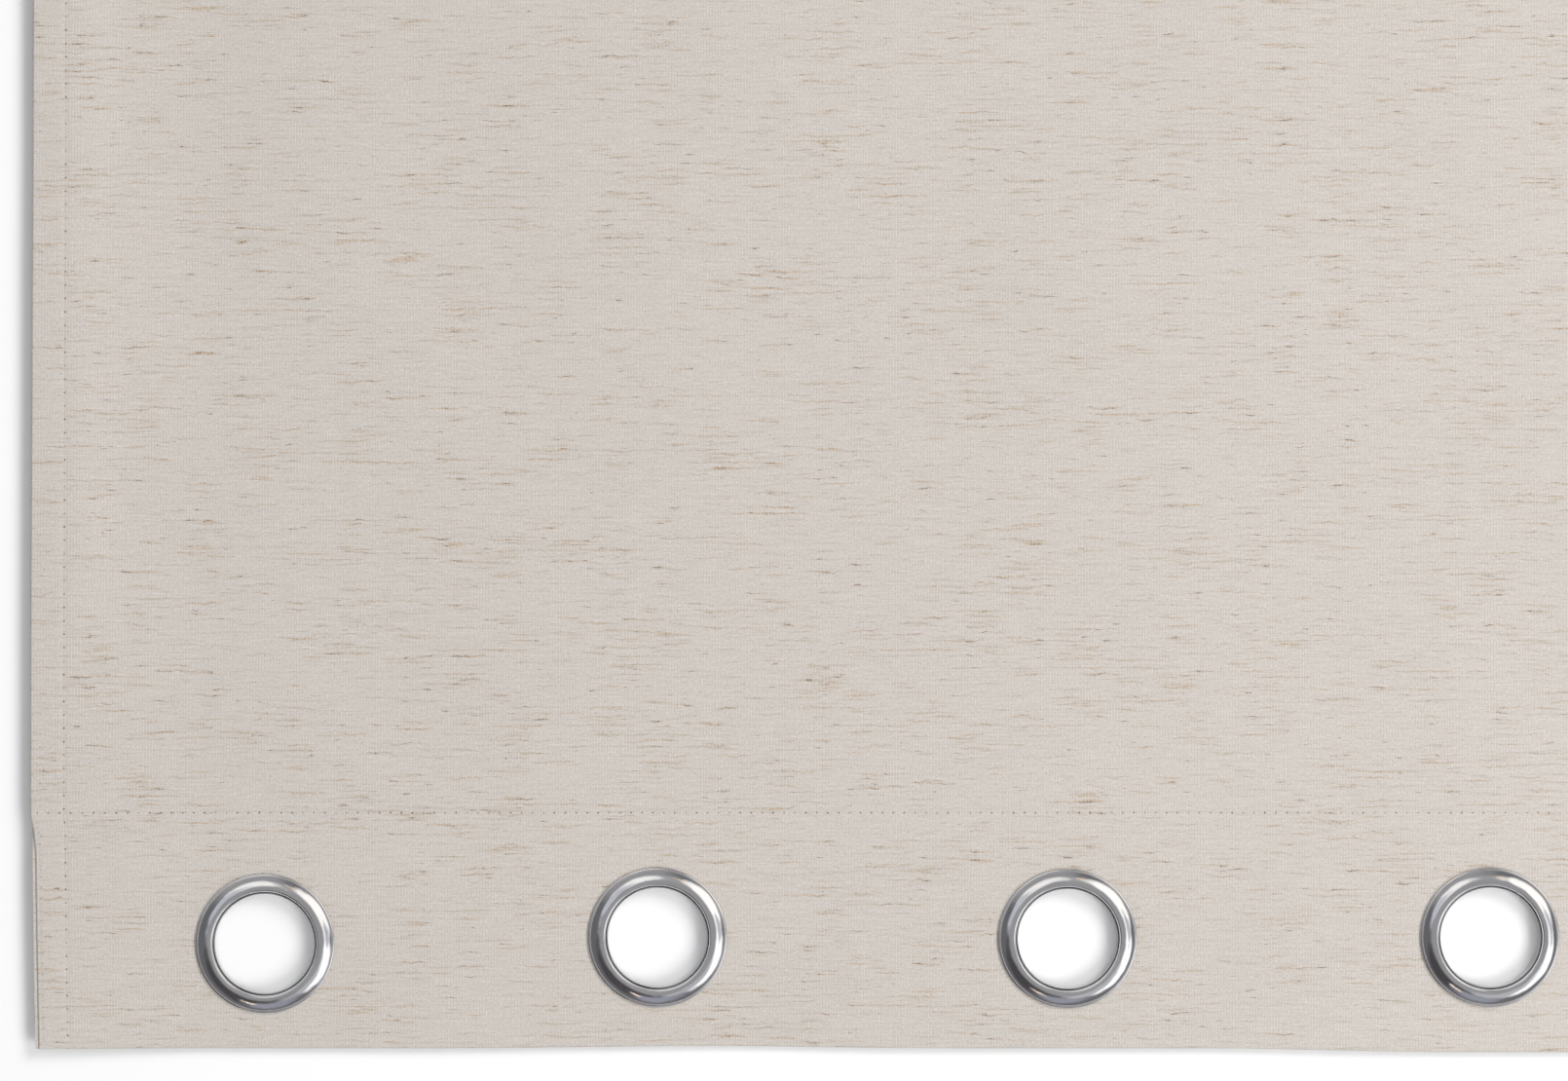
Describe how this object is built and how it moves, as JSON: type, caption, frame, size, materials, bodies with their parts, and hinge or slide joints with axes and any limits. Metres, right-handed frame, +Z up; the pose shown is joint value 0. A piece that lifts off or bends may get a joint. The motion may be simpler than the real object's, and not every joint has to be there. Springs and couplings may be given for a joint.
{
  "type": "grommet-top curtain panel",
  "caption": "Linen-look window curtain panel with a stiffened header, turned and stitched hems and chrome grommets, laid flat; folds up like an accordion.",
  "frame": {"origin": "centre of the panel's outline, on the surface that it lies on", "axes": "+Y from the header with its grommets towards the bottom hem, +Z up out of the face of the cloth, +X to the right as the face is looked at with the header nearest"},
  "size_m": [1.321, 2.134, 0.0061],
  "materials": {
    "linen_cloth": "matt natural linen weave with tan slubs",
    "header_buckram": "matt white non-woven stiffener",
    "sewing_thread": "spun polyester thread, matched to the cloth",
    "chrome": "polished chrome plate"
  },
  "bodies": {
    "strip_1": {"panel_cloth_1": "linen_cloth", "header_stiffener_1": "header_buckram", "grommet_front_1": "chrome", "grommet_back_1": "chrome", "header_seam_thread_1": "sewing_thread", "hem_seam_thread_1": "sewing_thread", "left_side_hem": "linen_cloth", "left_hem_thread": "sewing_thread", "left_header_end_thread": "sewing_thread"},
    "strip_2": {"panel_cloth_2": "linen_cloth", "header_stiffener_2": "header_buckram", "grommet_front_2": "chrome", "grommet_back_2": "chrome", "header_seam_thread_2": "sewing_thread", "hem_seam_thread_2": "sewing_thread"},
    "strip_3": {"panel_cloth_3": "linen_cloth", "header_stiffener_3": "header_buckram", "grommet_front_3": "chrome", "grommet_back_3": "chrome", "header_seam_thread_3": "sewing_thread", "hem_seam_thread_3": "sewing_thread"},
    "strip_4": {"panel_cloth_4": "linen_cloth", "header_stiffener_4": "header_buckram", "grommet_front_4": "chrome", "grommet_back_4": "chrome", "header_seam_thread_4": "sewing_thread", "hem_seam_thread_4": "sewing_thread"},
    "strip_5": {"panel_cloth_5": "linen_cloth", "header_stiffener_5": "header_buckram", "grommet_front_5": "chrome", "grommet_back_5": "chrome", "header_seam_thread_5": "sewing_thread", "hem_seam_thread_5": "sewing_thread"},
    "strip_6": {"panel_cloth_6": "linen_cloth", "header_stiffener_6": "header_buckram", "grommet_front_6": "chrome", "grommet_back_6": "chrome", "header_seam_thread_6": "sewing_thread", "hem_seam_thread_6": "sewing_thread"},
    "strip_7": {"panel_cloth_7": "linen_cloth", "header_stiffener_7": "header_buckram", "grommet_front_7": "chrome", "grommet_back_7": "chrome", "header_seam_thread_7": "sewing_thread", "hem_seam_thread_7": "sewing_thread"},
    "strip_8": {"panel_cloth_8": "linen_cloth", "header_stiffener_8": "header_buckram", "grommet_front_8": "chrome", "grommet_back_8": "chrome", "header_seam_thread_8": "sewing_thread", "hem_seam_thread_8": "sewing_thread", "right_side_hem": "linen_cloth", "right_hem_thread": "sewing_thread", "right_header_end_thread": "sewing_thread"}
  },
  "joints": [
    {"name": "fold_1", "type": "hinge", "parent": "strip_1", "child": "strip_2", "pos_m": [-0.4885, 0, 0.00405], "axis": [0, -1, 0], "range_deg": [0, 160]},
    {"name": "fold_2", "type": "hinge", "parent": "strip_2", "child": "strip_3", "pos_m": [-0.327, 0, -0.0002], "axis": [0, 1, 0], "range_deg": [0, 160]},
    {"name": "fold_3", "type": "hinge", "parent": "strip_3", "child": "strip_4", "pos_m": [-0.1595, 0, 0.00405], "axis": [0, -1, 0], "range_deg": [0, 160]},
    {"name": "fold_4", "type": "hinge", "parent": "strip_4", "child": "strip_5", "pos_m": [0.00575, 0, -0.0002], "axis": [0, 1, 0], "range_deg": [0, 160]},
    {"name": "fold_5", "type": "hinge", "parent": "strip_5", "child": "strip_6", "pos_m": [0.16625, 0, 0.00405], "axis": [0, -1, 0], "range_deg": [0, 160]},
    {"name": "fold_6", "type": "hinge", "parent": "strip_6", "child": "strip_7", "pos_m": [0.32675, 0, -0.0002], "axis": [0, 1, 0], "range_deg": [0, 160]},
    {"name": "fold_7", "type": "hinge", "parent": "strip_7", "child": "strip_8", "pos_m": [0.48725, 0, 0.00405], "axis": [0, -1, 0], "range_deg": [0, 160]}
  ],
  "couplings": [
    {"joint": "fold_2", "follows": "fold_1", "ratio": 1},
    {"joint": "fold_3", "follows": "fold_1", "ratio": 1},
    {"joint": "fold_4", "follows": "fold_1", "ratio": 1},
    {"joint": "fold_5", "follows": "fold_1", "ratio": 1},
    {"joint": "fold_6", "follows": "fold_1", "ratio": 1},
    {"joint": "fold_7", "follows": "fold_1", "ratio": 1}
  ]
}
